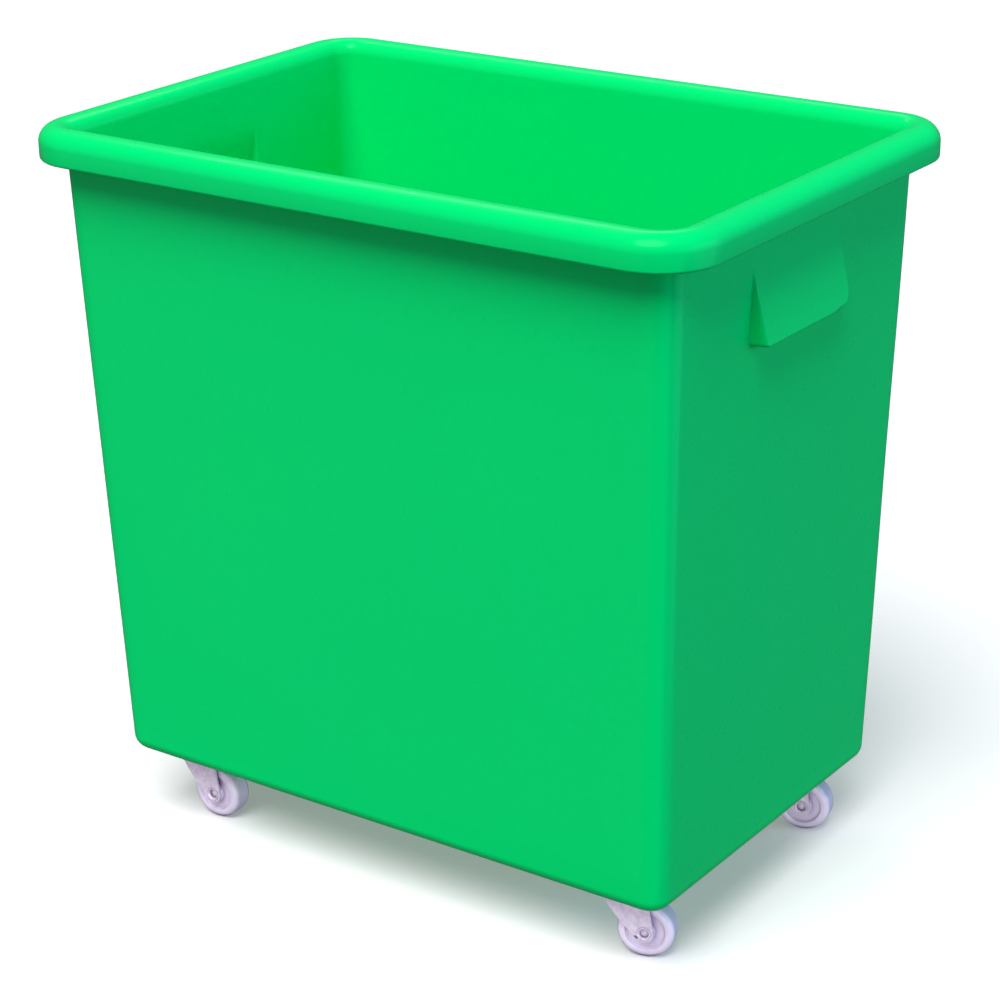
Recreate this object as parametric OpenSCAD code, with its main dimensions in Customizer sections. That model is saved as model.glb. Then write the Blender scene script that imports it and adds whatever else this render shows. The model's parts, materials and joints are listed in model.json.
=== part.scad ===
// Moulded container truck: a tapered rectangular tub with a rolled rim and a wedge-shaped
// hand-hold on each short end, carried on four small plate castors that swivel and roll.
// Millimetres, +Z up. X runs along the length and Y across the width. The origin is on the
// floor under the middle of the tub.

/* [Tub] */
// Length over the rim
tub_len = 680; // [620:5:740]
// Width over the rim
tub_wid = 462; // [430:2:510]
// Height of the tub from its underside to the crest of the rim
tub_height = 604; // [540:4:680]
// Thickness of the moulded walls
wall = 5; // [4:0.5:6]
// Thickness of the floor
floor_thick = 6; // [5:0.5:8]
// How far each wall leans in from the rim to the base
side_taper = 18; // [10:1:26]
// Radius of the upright corners just under the rim
corner_top_r = 22; // [18:1:28]
// Radius of the upright corners at the base
corner_base_r = 20; // [18:1:26]
// Radius of the rounded edge between the floor and the walls
base_edge_r = 14; // [10:1:16]

/* [Rim] */
// How far the rim stands out past the wall
rim_overhang = 27; // [22:1:31]
// Height of the rim from its lower edge to its crest
rim_height = 30; // [26:1:36]
// Height of the upright part of the rim above its lower edge
rim_skirt = 15; // [9:1:17]
// Corner radius of the rim's outside
rim_corner_r = 56; // [52:1:66]
// Size of the roll from the crest down into the tub
rim_inner_roll = 14; // [10:1:17]

/* [Hand-holds] */
// Width of the wedge
handle_wid = 140; // [110:2:170]
// How far both wedges sit off the middle of their ends, towards -Y
handle_shift = 8; // [0:1:12]
// How far the wedge stands out at its lower edge
handle_out = 17; // [14:1:22]
// Height of the wedge's lower edge above the underside of the tub
handle_low = 477; // [440:1:484]
// Height of the wedge
handle_rise = 64; // [45:1:68]
// Radius of the wedge's lower corner towards -Y
handle_corner_r = 4; // [3:1:12]
// Radius of the wedge's lower corner towards +Y
handle_far_r = 17; // [3:1:20]

/* [Castor places] */
// Distance of each swivel axis from the middle along the length
castor_x = 237; // [200:1:245]
// Distance of each swivel axis from the middle across the width
castor_y = 139; // [100:1:145]
// Height of a castor from the floor to the top of its plate
castor_height = 68; // [67:1:76]

/* [Castors] */
// Diameter of the wheel
wheel_d = 51; // [46:1:52]
// Width of the wheel at its rim
wheel_wid = 22; // [18:1:22]
// Radius of the rounding from the wheel's side to its tread
tread_round = 5; // [3:0.5:6]
// Distance from the swivel axis back to the axle
trail = 16.5; // [14:0.5:20]
// Degrees that the castor at -X, -Y is swivelled from trailing straight along +X
turn_front_left = 1; // [0:0.5:30]
// Degrees that the castor at +X, -Y is swivelled
turn_front_right = 18; // [0:0.5:30]
// Degrees that the castor at -X, +Y is swivelled
turn_back_left = 8; // [0:0.5:30]
// Degrees that the castor at +X, +Y is swivelled
turn_back_right = 13.5; // [0:0.5:30]
// Thickness of the pressed steel of the fork
fork_steel = 2; // [1.5:0.25:2.5]
// Radius of the round end of a fork leg
leg_end_r = 8.2; // [7.5:0.1:9.5]
// Side of the square fixing plate
plate_side = 58; // [56:1:64]
// Thickness of the fixing plate
plate_thick = 2.5; // [2:0.25:3]
// Distance between the centres of neighbouring plate holes
hole_pitch = 42; // [41:0.5:44]

/* [Fixings] */
// Nominal diameter of the bolts
bolt_d = 6; // [5:0.5:6]
// Length of the threaded inserts moulded into the floor
insert_len = 8; // [6:0.5:9]

/* [Hidden] */
CORNERS = ["front_left", "front_right", "back_left", "back_right"];
TURNS = [turn_front_left, turn_front_right, turn_back_left, turn_back_right];

$fn = 64;
eps = 0.01;

// Colours
green = [0.0, 0.75, 0.4];
nylon = [0.8, 0.78, 0.85];
zinc = [0.82, 0.8, 0.84];
steel = [0.6, 0.61, 0.64];
brass = [0.78, 0.66, 0.36];

// Tub heights, above the tub's underside
lip_z = tub_height - rim_height;
pad_rise = 6;
pad_side = plate_side + 12;
pad_corner_r = 8;

// Wedge: the lip clears its top by this much at least
handle_top = min(handle_low + handle_rise, lip_z - 20);

// Segments in each upright corner, in the rim's arcs and in the base edge
corner_steps = 10;
rim_steps = 7;
under_steps = 4;
edge_steps = 5;

// Castor heights, above the floor
wheel_r = wheel_d / 2;
axle_z = wheel_r;
plate_z = castor_height - plate_thick;
crown_top = castor_height - 9;
crown_under = crown_top - fork_steel;

// Castor widths
hub_half = wheel_wid / 2 + 1;
leg_inside = hub_half + 0.5;
leg_outside = leg_inside + fork_steel;

// Running parts. The wheel turns on the sleeve and the fork turns about the kingpin.
axle_r = 5;
axle_hollow_r = 4.1;
axle_flare = 0.9;
sleeve_r = 6;
press_gap = 0.02;
running_gap = 0.08;
kingpin_r = 5;
crown_r = 22;
race_r = 16;
ball_r = 3;
ball_count = 14;
ball_z = crown_top + 2.2;
cup_low = ball_z + ball_r;

// Bolt parts
bolt_r = bolt_d / 2;
head_flats = bolt_d * 10 / 6;
head_high = bolt_d * 0.65;
washer_thick = 1.4;
hole_r = bolt_r + 0.3;
insert_r = bolt_r + 1.5;
insert_hole_deep = insert_len + 0.3;
bolt_top = castor_height + insert_len - 1.2;

// ---- Tub surface -------------------------------------------------------------------------

// Half length, half width and corner radius of the outer wall at a height above the underside
function lean(z) = side_taper * (z / lip_z - 1);
function half_len(z) = tub_len / 2 - rim_overhang + lean(z);
function half_wid(z) = tub_wid / 2 - rim_overhang + lean(z);
function corner_r(z) = corner_base_r + (corner_top_r - corner_base_r) * z / lip_z;

// A section of the wall moved out by d at height z: half length, half width, radius, height
function wall_at(d, z) = [half_len(z) + d, half_wid(z) + d, corner_r(z) + d, z];

// A section of the rim moved out by d at height z above the rim's lower edge
function rim_corner(d) =
    d < 0 ? corner_top_r + d : corner_top_r + d * (rim_corner_r - corner_top_r) / rim_overhang;
function rim_at(d, z) = [half_len(lip_z) + d, half_wid(lip_z) + d, rim_corner(d), lip_z + z];

// The rim's crest lies this far out from the wall, with this run down to the skirt
crest_run = rim_overhang + wall - rim_inner_roll;
crest_d = rim_overhang - crest_run;
crest_rise = rim_height - rim_skirt;

inner_edge_r = base_edge_r - wall;

// Sections in order: up the outside, under and over the rim, and down the inside to the floor
function outside_sections() = [
    for (i = [0 : edge_steps])
        let (a = 90 * i / edge_steps)
        wall_at(-base_edge_r * (1 - sin(a)), base_edge_r * (1 - cos(a)))
];
function under_rim_sections() = concat(
    [for (i = [0 : under_steps])
        let (a = 90 * i / under_steps)
        rim_at(crest_d * (1 - cos(a)), rim_height - rim_inner_roll + crest_d * sin(a))],
    [for (i = [rim_steps - 1 : -1 : 0])
        let (a = 90 * i / rim_steps)
        rim_at(crest_d + (crest_run - wall) * cos(a), rim_skirt + (crest_rise - wall) * sin(a))]
);
function lip_sections() = [
    for (i = [0 : 4])
        let (a = 180 - 45 * i)
        rim_at(rim_overhang - wall / 2 * (1 - cos(a)), wall / 2 * (1 - sin(a)))
];
function over_rim_sections() = concat(
    [for (i = [0 : rim_steps])
        let (a = 90 * i / rim_steps)
        rim_at(crest_d + crest_run * cos(a), rim_skirt + crest_rise * sin(a))],
    [for (i = [1 : rim_steps])
        let (a = 90 + 90 * i / rim_steps)
        rim_at(crest_d + rim_inner_roll * cos(a), rim_height - rim_inner_roll * (1 - sin(a)))]
);
function inside_sections() = [
    for (i = [0 : edge_steps])
        let (a = 90 * i / edge_steps)
        wall_at(-wall - inner_edge_r * (1 - cos(a)), floor_thick + inner_edge_r * (1 - sin(a)))
];

// Points of one section, counter-clockwise seen from above
function section_points(s) = [
    for (q = [0 : 3], i = [0 : corner_steps])
        let (
            a = 90 * q + 90 * i / corner_steps,
            sx = (q == 0 || q == 3) ? 1 : -1,
            sy = (q == 0 || q == 1) ? 1 : -1,
            r = s[2]
        )
        [sx * (s[0] - r) + r * cos(a), sy * (s[1] - r) + r * sin(a), s[3]]
];

// A closed skin through a list of sections, flat at the first and the last
module skin(sections) {
    n = 4 * (corner_steps + 1);
    last = len(sections) - 1;
    points = [for (s = sections) each section_points(s)];
    sides = [
        for (k = [0 : last - 1], j = [0 : n - 1])
            let (p = k * n + j, q = k * n + (j + 1) % n)
            each [[p, p + n, q + n], [p, q + n, q]]
    ];
    first_cap = [for (j = [0 : n - 1]) j];
    last_cap = [for (j = [n - 1 : -1 : 0]) last * n + j];
    polyhedron(points, concat([first_cap], sides, [last_cap]));
}

module shell() {
    skin(concat(
        outside_sections(), under_rim_sections(), lip_sections(), over_rim_sections(), inside_sections()
    ));
}

// One wedge on the +X end. inset 0 gives its outside, and inset wall gives the pocket in it.
module wedge(inset) {
    low = handle_low + inset;
    half = handle_wid / 2 - inset;
    start = half_len(handle_low) - 1 - (inset > 0 ? wall + 6 : 0);
    translate([0, -handle_shift, 0])
        hull() {
            for (corner = [[-1, handle_corner_r], [1, handle_far_r]])
                let (r = max(corner[1] - inset, 1.5))
                    translate([start, corner[0] * (half - r), low + r])
                        rotate([0, 90, 0])
                            cylinder(r = r, h = half_len(handle_low) + handle_out - inset - start, $fn = 32);
            translate([start, -half, handle_top - 2])
                cube([half_len(handle_top) - inset - 0.5 - start, 2 * half, 2]);
        }
}

module both_ends() {
    children();
    mirror([1, 0, 0]) children();
}

// A thicker square of floor inside the tub over each castor
module castor_pad() {
    c = pad_side / 2 - pad_corner_r;
    hull()
        for (x = [-c, c], y = [-c, c])
            translate([x, y, floor_thick / 2])
                cylinder(r = pad_corner_r, h = floor_thick / 2 + pad_rise, $fn = 32);
}

module at_castors() {
    for (sx = [-1, 1], sy = [-1, 1])
        translate([sx * castor_x, sy * castor_y, 0]) children();
}

module at_plate_holes() {
    for (sx = [-1, 1], sy = [-1, 1])
        translate([sx * hole_pitch / 2, sy * hole_pitch / 2, 0]) children();
}

module tub() {
    color(green)
        translate([0, 0, castor_height])
            difference() {
                union() {
                    shell();
                    both_ends() wedge(0);
                    at_castors() castor_pad();
                }
                both_ends() wedge(wall);
                at_castors() at_plate_holes()
                    translate([0, 0, -1])
                        cylinder(r = insert_r / cos(7.5), h = insert_hole_deep + 1, $fn = 24);
            }
}

// ---- Fixings -----------------------------------------------------------------------------

module hexagon(flats, h) {
    cylinder(r = flats / 2 / cos(30), h = h, $fn = 6);
}

// Blind-ended sleeves moulded into the floor over the castors. Their threads aren't cut.
module threaded_inserts() {
    color(brass)
        at_castors() at_plate_holes()
            translate([0, 0, castor_height])
                difference() {
                    cylinder(r = insert_r - press_gap, h = insert_len, $fn = 24);
                    translate([0, 0, -1]) cylinder(r = bolt_r + press_gap, h = insert_len + 0.2, $fn = 32);
                }
}

module bolt() {
    head_top = plate_z - washer_thick;
    translate([0, 0, head_top - head_high]) hexagon(head_flats, head_high);
    translate([0, 0, head_top - eps]) cylinder(r = bolt_r, h = bolt_top - head_top - 0.6 + eps);
    translate([0, 0, bolt_top - 0.6]) cylinder(r1 = bolt_r, r2 = bolt_r - 0.6, h = 0.6 - 2 * eps);
}

module castor_bolts() {
    color(steel) at_castors() at_plate_holes() bolt();
}

// Split rings under the bolt heads, pressed flat
module spring_washer() {
    translate([0, 0, plate_z - washer_thick])
        difference() {
            cylinder(r = bolt_r * 1.9, h = washer_thick, $fn = 32);
            translate([0, 0, -1]) cylinder(r = hole_r, h = washer_thick + 2, $fn = 32);
            translate([0, -0.4, -1]) cube([bolt_d, 0.8, washer_thick + 2]);
        }
}

module spring_washers() {
    color(zinc) at_castors() at_plate_holes() spring_washer();
}

// ---- Castor pieces, each about its own swivel axis ---------------------------------------

// The fixing plate, pressed down into a ring-shaped cup that holds the balls
module plate() {
    cup_out = race_r + 7;
    cup_in = race_r - 7;
    cup_slope = 2;
    recess_slope = plate_thick;
    corner = 6;
    color(zinc)
        difference() {
            union() {
                for (x = [0, 1])
                    translate([-plate_side / 2 + x * corner, -plate_side / 2 + (1 - x) * corner, plate_z])
                        cube([plate_side - 2 * corner * x, plate_side - 2 * corner * (1 - x), plate_thick]);
                for (x = [-1, 1], y = [-1, 1])
                    translate([x * (plate_side / 2 - corner), y * (plate_side / 2 - corner), plate_z])
                        cylinder(r = corner, h = plate_thick);
                rotate_extrude()
                    polygon([
                        [cup_in, plate_z + 1], [cup_in, plate_z], [cup_in + cup_slope, cup_low],
                        [cup_out - cup_slope, cup_low], [cup_out, plate_z], [cup_out, plate_z + 1]
                    ]);
            }
            rotate_extrude()
                polygon([
                    [cup_in + recess_slope, castor_height + 1], [cup_in + recess_slope, castor_height],
                    [race_r - 2, cup_low + 2], [race_r + 2, cup_low + 2],
                    [cup_out - recess_slope, castor_height], [cup_out - recess_slope, castor_height + 1]
                ]);
            at_plate_holes() translate([0, 0, plate_z - 1]) cylinder(r = hole_r, h = plate_thick + 2);
            translate([0, 0, plate_z - 1]) cylinder(r = kingpin_r + press_gap, h = plate_thick + 2);
            translate([0, 0, castor_height - 1.5])
                cylinder(r1 = kingpin_r, r2 = kingpin_r + 2, h = 1.5 + eps);
        }
}

// The balls, held together by a thin cage ring
module ball_race() {
    color(steel) {
        for (i = [0 : ball_count - 1])
            rotate([0, 0, 360 * i / ball_count])
                translate([race_r, 0, ball_z]) sphere(r = ball_r - press_gap);
        translate([0, 0, ball_z - 0.4])
            difference() {
                cylinder(r = race_r + 1.6, h = 0.8);
                translate([0, 0, -1]) cylinder(r = race_r - 1.6, h = 3);
            }
    }
}

// The rivet that the fork swivels on: countersunk above, shouldered, and headed below
module kingpin() {
    washer_top = crown_under - 0.3;
    head_top = washer_top - 1.9;
    color(steel) {
        translate([0, 0, head_top - 1.2]) cylinder(r = kingpin_r + 2, h = 1.2);
        translate([0, 0, head_top - 2.2]) cylinder(r1 = kingpin_r + 1, r2 = kingpin_r + 2, h = 1 + eps);
        translate([0, 0, head_top - eps]) cylinder(r = kingpin_r, h = castor_height - head_top - 1);
        translate([0, 0, crown_top + 0.3]) cylinder(r = kingpin_r + 2.5, h = plate_z - crown_top - 0.3);
        translate([0, 0, castor_height - 1.5])
            cylinder(r1 = kingpin_r - press_gap, r2 = kingpin_r + 2 - press_gap, h = 1.5);
    }
}

module kingpin_washer() {
    thick = 1.9;
    color(zinc)
        translate([0, 0, crown_under - 0.3 - thick])
            difference() {
                cylinder(r = kingpin_r + 4, h = thick);
                translate([0, 0, -1]) cylinder(r = kingpin_r + press_gap, h = thick + 2);
            }
}

// Side view of the fork, X across and height up: a wide crown that narrows, with a hollow
// rear edge, to a round end at the axle
module fork_outline() {
    rear_top = [-crown_r + 1, crown_top];
    front_top = [crown_r - 2.5, crown_top];
    rear_low = [trail - leg_end_r * sin(46), axle_z - leg_end_r * cos(46)];
    front_low = [trail + leg_end_r, axle_z + 0.5];
    rear_pull = [-6, axle_z + 9];
    steps = 10;
    rear_edge = [
        for (i = [0 : steps])
            let (t = i / steps)
            (1 - t) * (1 - t) * rear_top + 2 * t * (1 - t) * rear_pull + t * t * rear_low
    ];
    polygon(concat(rear_edge, [[trail, axle_z], front_low, front_top]));
    translate([trail, axle_z]) circle(r = leg_end_r);
}

// End view of the pressed channel, Y across and height up
module channel_block(half, r, top) {
    translate([-half, 0]) square([2 * half, top - r]);
    translate([-half + r, 0]) square([2 * (half - r), top]);
    for (side = [-1, 1]) translate([side * (half - r), top - r]) circle(r = r);
}

module fork() {
    color(zinc)
        difference() {
            union() {
                intersection() {
                    translate([0, leg_outside + 1, 0])
                        rotate([90, 0, 0]) linear_extrude(2 * leg_outside + 2) fork_outline();
                    translate([-crown_r, 0, 0]) rotate([90, 0, 90])
                        linear_extrude(2 * crown_r + trail)
                            difference() {
                                channel_block(leg_outside, fork_steel + 1.5, crown_top);
                                translate([0, -1]) channel_block(leg_inside, 1.5, crown_under + 1);
                            }
                }
                translate([0, 0, crown_under]) cylinder(r = crown_r, h = fork_steel);
            }
            translate([0, 0, crown_under - 1])
                cylinder(r = kingpin_r + running_gap, h = fork_steel + 2);
            rotate_extrude() translate([race_r, ball_z]) circle(r = ball_r + 0.3);
            translate([trail, leg_outside + 1, axle_z])
                rotate([90, 0, 0]) cylinder(r = axle_r + press_gap, h = 2 * leg_outside + 2);
        }
}

// Places its children with +Z along the axle and the origin at the middle of the wheel
module on_axle() {
    translate([trail, 0, axle_z]) rotate([90, 0, 0]) children();
}

// The rivet through the fork, with hollow ends flared over the legs
module axle() {
    end = leg_outside + axle_flare;
    half = [
        [0, end - 3.4], [axle_hollow_r, end - 3.4], [axle_hollow_r, end - 1.4],
        [axle_hollow_r + 1.4, end], [axle_r + 0.9, end], [axle_r + 1.2, end - 0.4],
        [axle_r + 1.2, leg_outside], [axle_r, leg_outside]
    ];
    color(zinc)
        on_axle()
            rotate_extrude()
                polygon(concat(half, [for (i = [len(half) - 1 : -1 : 0]) [half[i][0], -half[i][1]]]));
}

// The plain bearing bush that the wheel turns on, clamped between the fork legs
module sleeve() {
    color(steel)
        on_axle()
            difference() {
                translate([0, 0, -leg_inside + 0.05]) cylinder(r = sleeve_r, h = 2 * leg_inside - 0.1);
                translate([0, 0, -leg_inside]) cylinder(r = axle_r + press_gap, h = 2 * leg_inside);
            }
}

// Half of the wheel's section, from the bore over the recessed web and the raised rim to the tread
function wheel_half() =
    let (face = wheel_wid / 2, shoulder = wheel_r - tread_round, web = face - 2.8, web_r = wheel_r - 8.2)
    concat(
        [[sleeve_r + running_gap, hub_half], [8.4, hub_half], [8.9, hub_half - 0.5]],
        [[9.6, web], [web_r - 1.1, web], [web_r, web + 1.2], [web_r + 0.6, face - 0.4], [web_r + 1.4, face]],
        [for (i = [0 : 8])
            let (a = 90 - 90 * i / 8)
            [shoulder + tread_round * cos(a), face - tread_round + tread_round * sin(a)]]
    );

module wheel() {
    half = wheel_half();
    color(nylon)
        on_axle()
            rotate_extrude($fn = 96)
                polygon(concat(
                    half, [for (i = [len(half) - 1 : -1 : 0]) [half[i][0], -half[i][1]]]
                ));
}

// ---- Assembly ----------------------------------------------------------------------------

// Puts one castor piece at the named corner, turned about its swivel axis if it swivels.
// Left is -X and front is -Y.
module at_corner(name, swivels = false) {
    k = search([name], CORNERS)[0];
    translate([(k % 2 == 0 ? -1 : 1) * castor_x, (k < 2 ? -1 : 1) * castor_y, 0])
        rotate([0, 0, swivels ? TURNS[k] : 0]) children();
}

tub();
threaded_inserts();
castor_bolts();
spring_washers();
for (name = CORNERS) {
    at_corner(name) plate();
    at_corner(name) ball_race();
    at_corner(name) kingpin();
    at_corner(name) kingpin_washer();
    at_corner(name, true) fork();
    at_corner(name, true) axle();
    at_corner(name, true) sleeve();
    at_corner(name, true) wheel();
}
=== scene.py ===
"""Looks for the moulded container truck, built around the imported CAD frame. Metres, +Z up."""
import json
import math

import bmesh
import bpy
from mathutils import Matrix, Vector, noise


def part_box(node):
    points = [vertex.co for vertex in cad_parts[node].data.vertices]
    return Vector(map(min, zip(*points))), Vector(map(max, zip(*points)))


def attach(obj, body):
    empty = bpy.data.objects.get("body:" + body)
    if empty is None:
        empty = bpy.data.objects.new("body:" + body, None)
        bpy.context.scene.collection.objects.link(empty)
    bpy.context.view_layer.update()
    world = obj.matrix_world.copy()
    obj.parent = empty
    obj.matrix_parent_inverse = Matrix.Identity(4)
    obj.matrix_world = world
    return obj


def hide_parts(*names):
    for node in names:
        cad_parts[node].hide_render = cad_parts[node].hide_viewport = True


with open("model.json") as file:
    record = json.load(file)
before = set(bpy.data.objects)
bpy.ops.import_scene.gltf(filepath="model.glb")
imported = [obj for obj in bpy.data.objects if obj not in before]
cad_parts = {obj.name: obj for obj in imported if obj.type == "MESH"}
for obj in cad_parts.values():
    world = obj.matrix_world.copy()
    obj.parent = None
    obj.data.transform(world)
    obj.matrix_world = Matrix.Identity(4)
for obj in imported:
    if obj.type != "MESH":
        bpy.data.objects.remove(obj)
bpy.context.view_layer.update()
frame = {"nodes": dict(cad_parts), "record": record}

MM = 0.001

# ---- Sizes that the frame gives ----------------------------------------------------------

tub_low, tub_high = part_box("tub")
TUB_BASE = tub_low.z
HALF_LEN = tub_high.x
HALF_WID = tub_high.y
TUB_HEIGHT = tub_high.z - tub_low.z

# ---- Sizes of the moulding, as in the CAD -------------------------------------------------

WALL = 5 * MM
FLOOR_THICK = 6 * MM
TAPER = 18 * MM
CORNER_TOP_R = 22 * MM
CORNER_BASE_R = 20 * MM
BASE_EDGE_R = 14 * MM
RIM_OUT = 27 * MM
RIM_HEIGHT = 30 * MM
RIM_SKIRT = 15 * MM
RIM_CORNER_R = 56 * MM
RIM_ROLL = 14 * MM
HANDLE_HALF = 70 * MM
HANDLE_SHIFT = 8 * MM
HANDLE_OUT = 17 * MM
HANDLE_LOW = 477 * MM
HANDLE_RISE = 64 * MM
HANDLE_CORNER_R = 4 * MM
HANDLE_FAR_R = 17 * MM
PAD_RISE = 6 * MM
PAD_HALF = 35 * MM
PAD_CORNER_R = 8 * MM
CASTOR_X = 237 * MM
CASTOR_Y = 139 * MM
LIP = TUB_HEIGHT - RIM_HEIGHT

# ---- Details that only the looks have -----------------------------------------------------

# Rounding of the wedge's edges, how steep its sides are, and how far they reach past its outline
WEDGE_BLEND = 3 * MM
WEDGE_SIDE_SLOPE = 9
WEDGE_SIDE_REACH = 0.7 * MM
# Rounded upper edge of a pad, and how far the pad's lower part is sunk in the floor
PAD_EDGE_R = 1.5 * MM
PAD_SUNK = 2 * MM
# Depth of the waviness of the walls
WAVE_DEPTH = 0.5 * MM
# Small bevel on every edge of the CAD pieces sharper than this
BEVEL_WIDTH = 0.3 * MM
BEVEL_ANGLE = math.radians(35)


def clean_mesh(name, points, faces):
    """A new smooth object with this mesh, its normals facing out."""
    mesh = bpy.data.meshes.new(name)
    mesh.from_pydata(points, [], faces)
    bm = bmesh.new()
    bm.from_mesh(mesh)
    bmesh.ops.recalc_face_normals(bm, faces=bm.faces)
    bm.to_mesh(mesh)
    bm.free()
    for face in mesh.polygons:
        face.use_smooth = True
    thing = bpy.data.objects.new(name, mesh)
    bpy.context.scene.collection.objects.link(thing)
    return thing


def spread(*stretches):
    """Positions along a line: each stretch is (start, end, step), and the last point is kept once."""
    out = []
    for start, end, step in stretches:
        count = max(1, round(abs(end - start) / step))
        out += [start + (end - start) * i / count for i in range(count)]
    return out + [stretches[-1][1]]


def arc(steps):
    """Angles from 0 to a right angle."""
    return [math.pi / 2 * i / steps for i in range(steps + 1)]


# ---- Tub ---------------------------------------------------------------------------------

def half_sizes(z):
    """Half length, half width and corner radius of the outer wall at a height in the tub."""
    lean = TAPER * (z / LIP - 1)
    radius = CORNER_BASE_R + (CORNER_TOP_R - CORNER_BASE_R) * z / LIP
    return HALF_LEN - RIM_OUT + lean, HALF_WID - RIM_OUT + lean, radius


def wall_row(out, z, bulge=None):
    """A section of the wall moved out: half length, half width, radius, height, and the wedge's inset."""
    a, b, r = half_sizes(z)
    return a + out, b + out, max(r + out, 2 * MM), z, bulge


def rim_row(out, z):
    """A section of the rim moved out, at a height above the rim's lower edge."""
    a, b, r = half_sizes(LIP)
    r += out * (RIM_CORNER_R - CORNER_TOP_R) / RIM_OUT if out > 0 else out
    return a + out, b + out, r, LIP + z, None


def smooth_min(a, b, k):
    """The lesser of a and b, blended over about k."""
    h = max(k - abs(a - b), 0) / k
    return min(a, b) - h * h * k / 4


def wedge_bulge(y, z, inset):
    """How far an end wall stands out for the wedge-shaped hand-hold, or for the pocket in it."""
    across = y + HANDLE_SHIFT
    r = max((HANDLE_FAR_R if across > 0 else HANDLE_CORNER_R) - inset, 1.5 * MM)
    low = HANDLE_LOW + inset
    half = HANDLE_HALF - inset
    dy = abs(across) - (half - r)
    dz = (low + r) - z
    if dy > 0 and dz > 0:
        inside = r - math.hypot(dy, dz)
    else:
        inside = r - max(dy, dz)
    slope = HANDLE_OUT * (HANDLE_LOW + HANDLE_RISE - z) / HANDLE_RISE
    steep = (inside + WEDGE_SIDE_REACH) * WEDGE_SIDE_SLOPE
    top = smooth_min(slope, steep, WEDGE_BLEND)
    return -smooth_min(-top, 0, WEDGE_BLEND) if top > -WEDGE_BLEND else 0.0


def end_columns(side):
    """Places across the end wall on this side, close together where the wedge's sides are."""
    half_flat = HALF_WID - RIM_OUT - CORNER_TOP_R
    edges = (-HANDLE_HALF, HANDLE_HALF)
    one, other = sorted(side * (edge - HANDLE_SHIFT) / half_flat for edge in edges)
    near, fine, middle, coarse = 0.045, 0.004, 0.055, 0.07
    return spread(
        (-1.0, one - near, coarse), (one - near, one + near, fine), (one + near, other - near, middle),
        (other - near, other + near, fine), (other + near, 1.0, coarse),
    )


def tub_columns():
    """The places round the tub. Each is (side, share along it) or (corner, angle)."""
    cols = []
    flat = spread((-1.0, 1.0, 0.16))
    ends = ("+x", end_columns(1)), ("+y", flat), ("-x", end_columns(-1)), ("-y", flat)
    corner = arc(14)[1:-1]
    for quarter, (kind, places) in enumerate(ends):
        cols += [(kind, s) for s in places]
        cols += [("corner", quarter, t) for t in corner]
    return cols


def column_point(col, row):
    """The point of one section at one place round the tub."""
    a, b, r, z, bulge = row
    if col[0] == "corner":
        quarter, t = col[1], col[2]
        cx = (a - r) * (1 if quarter in (0, 3) else -1)
        cy = (b - r) * (1 if quarter in (0, 1) else -1)
        t += quarter * math.pi / 2
        return Vector((cx + r * math.cos(t), cy + r * math.sin(t), z))
    s = col[1]
    if col[0] in ("+x", "-x"):
        side = 1 if col[0] == "+x" else -1
        y = s * (b - r) * side
        extra = wedge_bulge(y, z, bulge) if bulge is not None else 0
        return Vector((side * (a + extra), y, z))
    side = 1 if col[0] == "+y" else -1
    return Vector((-side * s * (a - r), side * b, z))


def wall_heights(low, high):
    """Heights up a wall, close together round the wedge's lower edge."""
    below = HANDLE_LOW - 6 * MM
    inside = HANDLE_LOW + 20 * MM
    above = HANDLE_LOW + HANDLE_RISE + 6 * MM
    return spread(
        (low, below, 22 * MM), (below, inside, 0.9 * MM), (inside, above, 3 * MM), (above, high, 8 * MM)
    )


def tub_rows():
    """Sections from the middle of the underside, up the outside, over the rim and down to the floor."""
    run = RIM_OUT + WALL - RIM_ROLL
    crest = RIM_OUT - run
    rise = RIM_HEIGHT - RIM_SKIRT
    inner_r = BASE_EDGE_R - WALL
    rows = [wall_row(-BASE_EDGE_R * (1 - math.sin(t)), BASE_EDGE_R * (1 - math.cos(t))) for t in arc(8)]
    rows += [wall_row(0, z, 0) for z in wall_heights(BASE_EDGE_R, LIP)[1:]]
    rows += [
        rim_row(crest * (1 - math.cos(t)), RIM_HEIGHT - RIM_ROLL + crest * math.sin(t)) for t in arc(8)
    ]
    rows += [
        rim_row(crest + (run - WALL) * math.cos(t), RIM_SKIRT + (rise - WALL) * math.sin(t))
        for t in reversed(arc(10)[:-1])
    ]
    rows += [
        rim_row(RIM_OUT - WALL / 2 * (1 + math.cos(2 * t)), WALL / 2 * (1 - math.sin(2 * t)))
        for t in arc(8)
    ]
    rows += [rim_row(crest + run * math.cos(t), RIM_SKIRT + rise * math.sin(t)) for t in arc(16)]
    rows += [
        rim_row(crest - RIM_ROLL * math.sin(t), RIM_HEIGHT - RIM_ROLL * (1 - math.cos(t)))
        for t in arc(12)[1:]
    ]
    top = LIP + RIM_HEIGHT - RIM_ROLL
    low = FLOOR_THICK + inner_r
    rows += [wall_row(-WALL, z, WALL) for z in reversed(wall_heights(low, LIP)[1:])]
    rows += [
        wall_row(-WALL - inner_r * (1 - math.cos(t)), FLOOR_THICK + inner_r * (1 - math.sin(t)))
        for t in arc(8)
    ]
    return rows


def warp(p):
    """The slight waviness of a moulded wall, nil at the base, the floor and the rim."""
    height = p.z / LIP
    share = max(0.0, min(1.0, 4 * height, 4 * (1 - height)))
    outward = Vector((p.x / HALF_LEN, p.y / HALF_WID, 0))
    return outward.normalized() * (WAVE_DEPTH * share * noise.noise(Vector((p.x * 6, p.y * 6, p.z * 5))))


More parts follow.
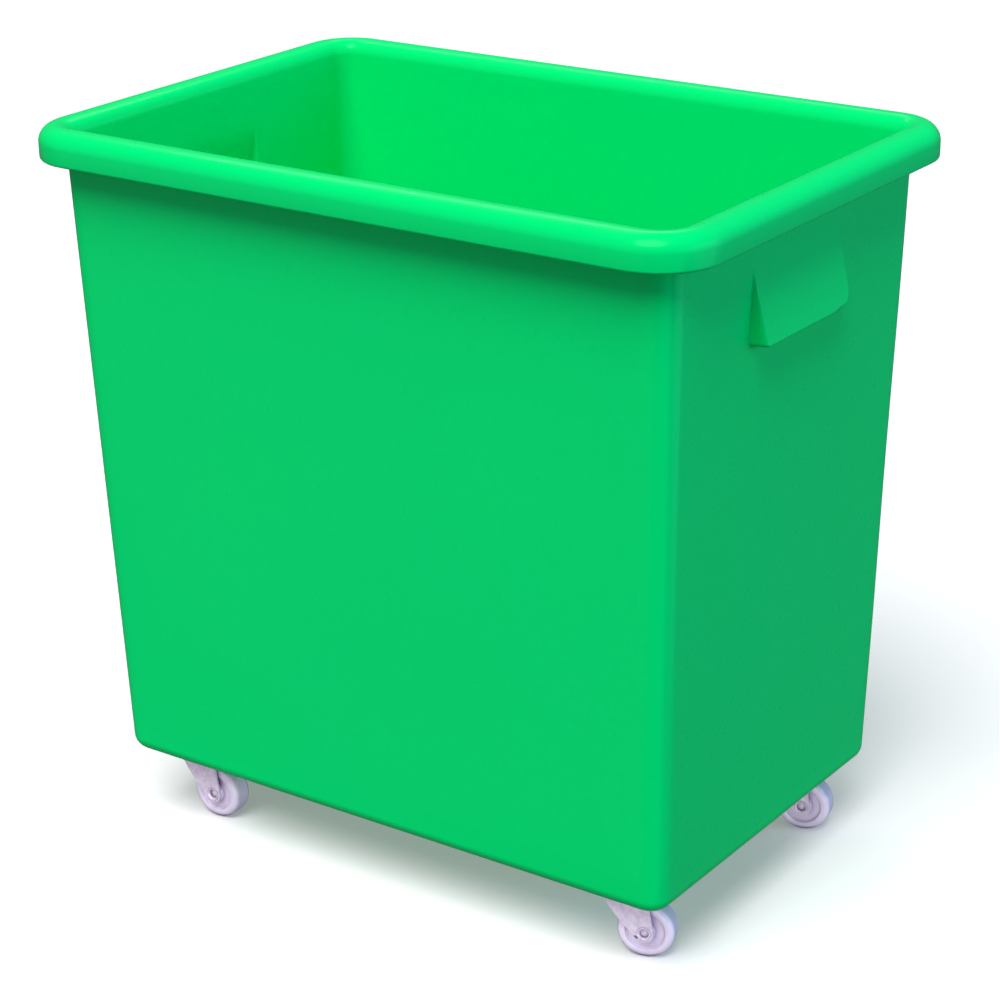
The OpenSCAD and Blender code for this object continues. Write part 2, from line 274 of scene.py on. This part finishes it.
def add_pad(points, faces, x, y):
    """A raised square of floor over one castor, its lower part sunk in the floor."""
    low = TUB_BASE + FLOOR_THICK
    sections = [(0, low - PAD_SUNK)]
    for t in arc(4):
        sections.append((-PAD_EDGE_R * (1 - math.cos(t)), low + PAD_RISE - PAD_EDGE_R * (1 - math.sin(t))))
    rings = []
    for out, z in sections:
        rings.append(len(points))
        r, c = PAD_CORNER_R + out, PAD_HALF - PAD_CORNER_R
        for quarter in range(4):
            for t in arc(5):
                a = t + quarter * math.pi / 2
                cx = c if quarter in (0, 3) else -c
                cy = c if quarter in (0, 1) else -c
                points.append(Vector((x + cx + r * math.cos(a), y + cy + r * math.sin(a), z)))
    n = len(points) - rings[-1]
    for one, other in zip(rings, rings[1:]):
        for j in range(n):
            k = (j + 1) % n
            faces.append((one + j, one + k, other + k, other + j))
    faces.append(tuple(rings[0] + j for j in range(n)))
    faces.append(tuple(rings[-1] + j for j in range(n)))


def make_tub():
    """The whole moulding: one closed skin, and the pads standing on its floor."""
    cols, rows = tub_columns(), tub_rows()
    n = len(cols)
    points = []
    for row in rows:
        for col in cols:
            p = column_point(col, row)
            points.append(p + warp(p) + Vector((0, 0, TUB_BASE)))
    faces = []
    for i in range(len(rows) - 1):
        for j in range(n):
            k = (j + 1) % n
            faces.append((i * n + j, i * n + k, (i + 1) * n + k, (i + 1) * n + j))
    faces.append(tuple(range(n)))
    faces.append(tuple((len(rows) - 1) * n + j for j in range(n)))
    for sx in (-1, 1):
        for sy in (-1, 1):
            add_pad(points, faces, sx * CASTOR_X, sy * CASTOR_Y)
    return clean_mesh("tub_shell", points, faces)


# ---- Materials ---------------------------------------------------------------------------

def srgb(r, g, b):
    """A colour given as it looks on a screen, 0 to 255, as linear numbers."""
    def part(c):
        c /= 255
        return c / 12.92 if c <= 0.04045 else ((c + 0.055) / 1.055) ** 2.4
    return part(r), part(g), part(b), 1.0


class Nodes:
    """Short names for building one material's nodes."""

    def __init__(self, name):
        self.material = bpy.data.materials.new(name)
        self.material.use_nodes = True
        self.tree = self.material.node_tree
        self.shader = self.tree.nodes["Principled BSDF"]
        self.place = self.add("ShaderNodeTexCoord").outputs["Object"]

    def add(self, kind, inputs=None, **settings):
        node = self.tree.nodes.new(kind)
        for key, value in settings.items():
            setattr(node, key, value)
        for key, value in (inputs or {}).items():
            self.put(node.inputs[key], value)
        return node

    def put(self, socket, value):
        if isinstance(value, bpy.types.NodeSocket):
            self.tree.links.new(value, socket)
        else:
            socket.default_value = value

    def noise(self, scale, detail=4, rough=0.5, stretch=(1, 1, 1)):
        place = self.add("ShaderNodeMapping", {"Vector": self.place, "Scale": stretch}).outputs[0]
        return self.add(
            "ShaderNodeTexNoise", {"Vector": place, "Scale": scale, "Detail": detail, "Roughness": rough}
        ).outputs["Fac"]

    def remap(self, value, low, high, to_low, to_high):
        return self.add(
            "ShaderNodeMapRange",
            {"Value": value, "From Min": low, "From Max": high, "To Min": to_low, "To Max": to_high},
        ).outputs["Result"]

    def mix(self, share, a, b):
        return self.add("ShaderNodeMixRGB", {"Fac": share, "Color1": a, "Color2": b}).outputs[0]

    def bump(self, height, distance, strength, before=None):
        inputs = {"Height": height, "Distance": distance, "Strength": strength}
        if before:
            inputs["Normal"] = before
        return self.add("ShaderNodeBump", inputs).outputs["Normal"]

    def painted_recess_shade(self, colour, shade, reach):
        """The colour, going over to a painted shade in holes and recesses, where ambient occlusion finds
        the surface closed in.
        """
        openness = self.add("ShaderNodeAmbientOcclusion", {"Distance": reach}, samples=8).outputs["AO"]
        return self.mix(self.remap(openness, 0.35, 0.95, 0, 1), shade, colour)

    def finish(self, **sockets):
        for key, value in sockets.items():
            self.put(self.shader.inputs[key.replace("_", " ")], value)
        return self.material


def tub_material():
    """Moulded polyethylene: waxy, very slightly mottled, with an orange-peel surface."""
    n = Nodes("green_polyethylene")
    broad = n.noise(5, 3)
    mottle = n.noise(240, 3, 0.6)
    colour = n.mix(n.remap(broad, 0.3, 0.7, 0, 1), srgb(0, 238, 126), srgb(0, 240, 123))
    colour = n.mix(n.remap(mottle, 0.3, 0.7, 0, 0.25), colour, srgb(0, 231, 120))
    rough = n.remap(n.noise(60, 4), 0.3, 0.7, 0.26, 0.34)
    normal = n.bump(n.noise(420, 2, 0.5), 0.0003, 0.04)
    normal = n.bump(n.noise(70, 2, 0.4), 0.0003, 0.05, normal)
    return n.finish(
        Base_Color=colour, Roughness=rough, Normal=normal, IOR=1.5,
        Specular_IOR_Level=0.12, Specular_Tint=(0.1, 1.0, 0.5, 1.0),
        Coat_Weight=0.06, Coat_Roughness=0.1, Coat_IOR=1.5,
    )


def nylon_material():
    """Off-white nylon, slightly translucent, scuffed, with painted shade in its recesses."""
    n = Nodes("wheel_nylon")
    colour = n.mix(n.remap(n.noise(90, 3), 0.35, 0.65, 0, 1), srgb(232, 224, 242), srgb(222, 213, 234))
    scuff = n.remap(n.noise(260, 5, 0.7), 0.62, 0.75, 0, 0.35)
    colour = n.mix(scuff, colour, srgb(168, 162, 178))
    # Painted shade: ambient occlusion darkens the nylon to a dark lilac in holes and recesses.
    colour = n.painted_recess_shade(colour, srgb(128, 106, 156), 7 * MM)
    rough = n.remap(n.noise(160, 3), 0.3, 0.7, 0.3, 0.46)
    normal = n.bump(n.noise(900, 2), 0.0002, 0.15)
    return n.finish(
        Base_Color=colour, Roughness=rough, Normal=normal,
        Subsurface_Weight=0.2, Subsurface_Radius=(1.0, 0.9, 1.0), Subsurface_Scale=0.002,
    )


def zinc_material():
    """Bright zinc plating: pale, a little lilac, with fine pressing marks, and painted shade in its
    recesses.
    """
    n = Nodes("zinc_plate")
    colour = n.mix(n.remap(n.noise(220, 4), 0.35, 0.65, 0, 1), srgb(236, 226, 240), srgb(216, 204, 224))
    # Painted shade: ambient occlusion darkens the zinc to a dark lilac in holes and recesses, such as
    # round the axle.
    colour = n.painted_recess_shade(colour, srgb(104, 82, 134), 4 * MM)
    rough = n.remap(n.noise(500, 3, 0.6), 0.3, 0.7, 0.3, 0.48)
    normal = n.bump(n.noise(900, 3, 0.6, (1, 1, 0.2)), 0.0002, 0.15)
    return n.finish(Base_Color=colour, Roughness=rough, Normal=normal, Metallic=0.12)


def steel_material():
    """Plain steel of bolts and rivets, with slight tarnish."""
    n = Nodes("bolt_steel")
    colour = n.mix(n.remap(n.noise(300, 4), 0.4, 0.65, 0, 1), srgb(196, 192, 200), srgb(150, 146, 152))
    rough = n.remap(n.noise(600, 3), 0.3, 0.7, 0.28, 0.45)
    normal = n.bump(n.noise(1100, 2), 0.0002, 0.2)
    return n.finish(Base_Color=colour, Roughness=rough, Normal=normal, Metallic=1.0)


def brass_material():
    """Plain brass of the threaded inserts."""
    n = Nodes("insert_brass")
    colour = n.mix(n.remap(n.noise(300, 4), 0.4, 0.65, 0, 1), srgb(214, 180, 110), srgb(176, 142, 80))
    rough = n.remap(n.noise(600, 3), 0.3, 0.7, 0.25, 0.42)
    normal = n.bump(n.noise(1000, 2), 0.0002, 0.2)
    return n.finish(Base_Color=colour, Roughness=rough, Normal=normal, Metallic=1.0)


MATERIALS = {
    "tub_plastic": tub_material(),
    "wheel_nylon": nylon_material(),
    "zinc_plate": zinc_material(),
    "bolt_steel": steel_material(),
    "insert_brass": brass_material(),
}


def dress(thing, slot_name):
    """Gives the object the material of this slot, and no other."""
    thing.data.materials.clear()
    thing.data.materials.append(MATERIALS[slot_name])


# ---- Put the pieces together -------------------------------------------------------------

shell = make_tub()
dress(shell, "tub_plastic")
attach(shell, "truck")
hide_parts("tub")

SLOTS = {row["node"]: row["material_slot"] for row in frame["record"]["subparts"]}
for name, thing in frame["nodes"].items():
    dress(thing, SLOTS[name])
    for face in thing.data.polygons:
        face.use_smooth = True
    bevel = thing.modifiers.new("edges", "BEVEL")
    bevel.width = BEVEL_WIDTH
    bevel.segments = 2
    bevel.limit_method = "ANGLE"
    bevel.angle_limit = BEVEL_ANGLE
    bevel.harden_normals = True


# ---- Stage -------------------------------------------------------------------------------

def make_floor():
    """A plain pale floor that glows a little, so that its shadows are light. It doesn't tint the truck."""
    size = 14.0
    glow = 0.25
    corners = [(-size, -size, 0), (size, -size, 0), (size, size, 0), (-size, size, 0)]
    mesh = bpy.data.meshes.new("floor")
    mesh.from_pydata(corners, [], [(0, 1, 2, 3)])
    floor = bpy.data.objects.new("floor", mesh)
    bpy.context.scene.collection.objects.link(floor)
    n = Nodes("pale_floor")
    tone = n.mix(n.noise(3, 3), (0.91, 0.91, 0.91, 1), (0.93, 0.93, 0.93, 1))
    pale = n.finish(Base_Color=tone, Roughness=0.9, Emission_Color=tone, Emission_Strength=glow)
    mesh.materials.append(pale)
    floor.visible_diffuse = False
    floor.visible_glossy = False


def area_light(name, place, target, size, power, colour=(1, 1, 1), beam=180):
    """A long flat light at a place, facing a target, with a beam of this many degrees."""
    data = bpy.data.lights.new(name, "AREA")
    data.spread = math.radians(beam)
    data.shape = "RECTANGLE"
    data.size, data.size_y = size
    data.energy = power
    data.color = colour
    light = bpy.data.objects.new(name, data)
    bpy.context.scene.collection.objects.link(light)
    light.location = place
    light.rotation_mode = "QUATERNION"
    light.rotation_quaternion = (Vector(target) - Vector(place)).to_track_quat("-Z", "Y")


def soft_sun(name, towards, strength, angle, colour=(1, 1, 1)):
    """An even light from far off, from this direction, with shadows as soft as the angle it fills."""
    data = bpy.data.lights.new(name, "SUN")
    data.energy = strength
    data.angle = math.radians(angle)
    data.color = colour
    light = bpy.data.objects.new(name, data)
    bpy.context.scene.collection.objects.link(light)
    light.rotation_mode = "QUATERNION"
    light.rotation_quaternion = (-Vector(towards)).to_track_quat("-Z", "Y")


def make_lights():
    """A dim even sky, a high key from the front, two low fills, and strips for the rim and the castors."""
    world = bpy.data.worlds.new("studio")
    world.use_nodes = True
    world.node_tree.nodes["Background"].inputs["Color"].default_value = (0.9, 0.94, 1, 1)
    world.node_tree.nodes["Background"].inputs["Strength"].default_value = 0.12
    bpy.context.scene.world = world
    soft_sun("key", (0.12, -0.6, 1.0), 3.0, 40)
    soft_sun("front_fill", (-0.4, -1.0, 0.02), 0.45, 70, (0.95, 0.86, 1.0))
    soft_sun("end_fill", (1.0, 0.35, 0.02), 2.1, 60, (0.35, 0.68, 1.0))
    area_light("overhead_strip", (-0.9, 0.9, 2.0), (0, -0.1, 0.67), (1.4, 0.06), 6)
    area_light("castor_strip", (0.86, -1.23, 0.03), (0, 0, 0.03), (1.3, 0.04), 0.15, (1, 0.95, 1), 5)


def make_camera():
    """The viewpoint: its direction, distance, slight roll and lens."""
    azimuth, elevation, roll = math.radians(35.15), math.radians(21.53), math.radians(0.84)
    distance = 2.5228
    target = Vector((0.00927, 0, 0.32414))
    level = Vector((math.sin(azimuth), -math.cos(azimuth), 0))
    back = level * math.cos(elevation) + Vector((0, 0, math.sin(elevation)))
    right = Vector((0, 0, 1)).cross(back).normalized()
    up = back.cross(right)
    x = right * math.cos(roll) - up * math.sin(roll)
    y = right * math.sin(roll) + up * math.cos(roll)
    data = bpy.data.cameras.new("camera")
    data.sensor_width = 36
    data.lens = 100.33
    camera = bpy.data.objects.new("camera", data)
    bpy.context.scene.collection.objects.link(camera)
    turn = Matrix((x, y, back)).transposed().to_4x4()
    camera.matrix_world = Matrix.Translation(target + back * distance) @ turn
    bpy.context.scene.camera = camera


make_floor()
make_lights()
make_camera()
bpy.context.scene.view_settings.view_transform = "Standard"
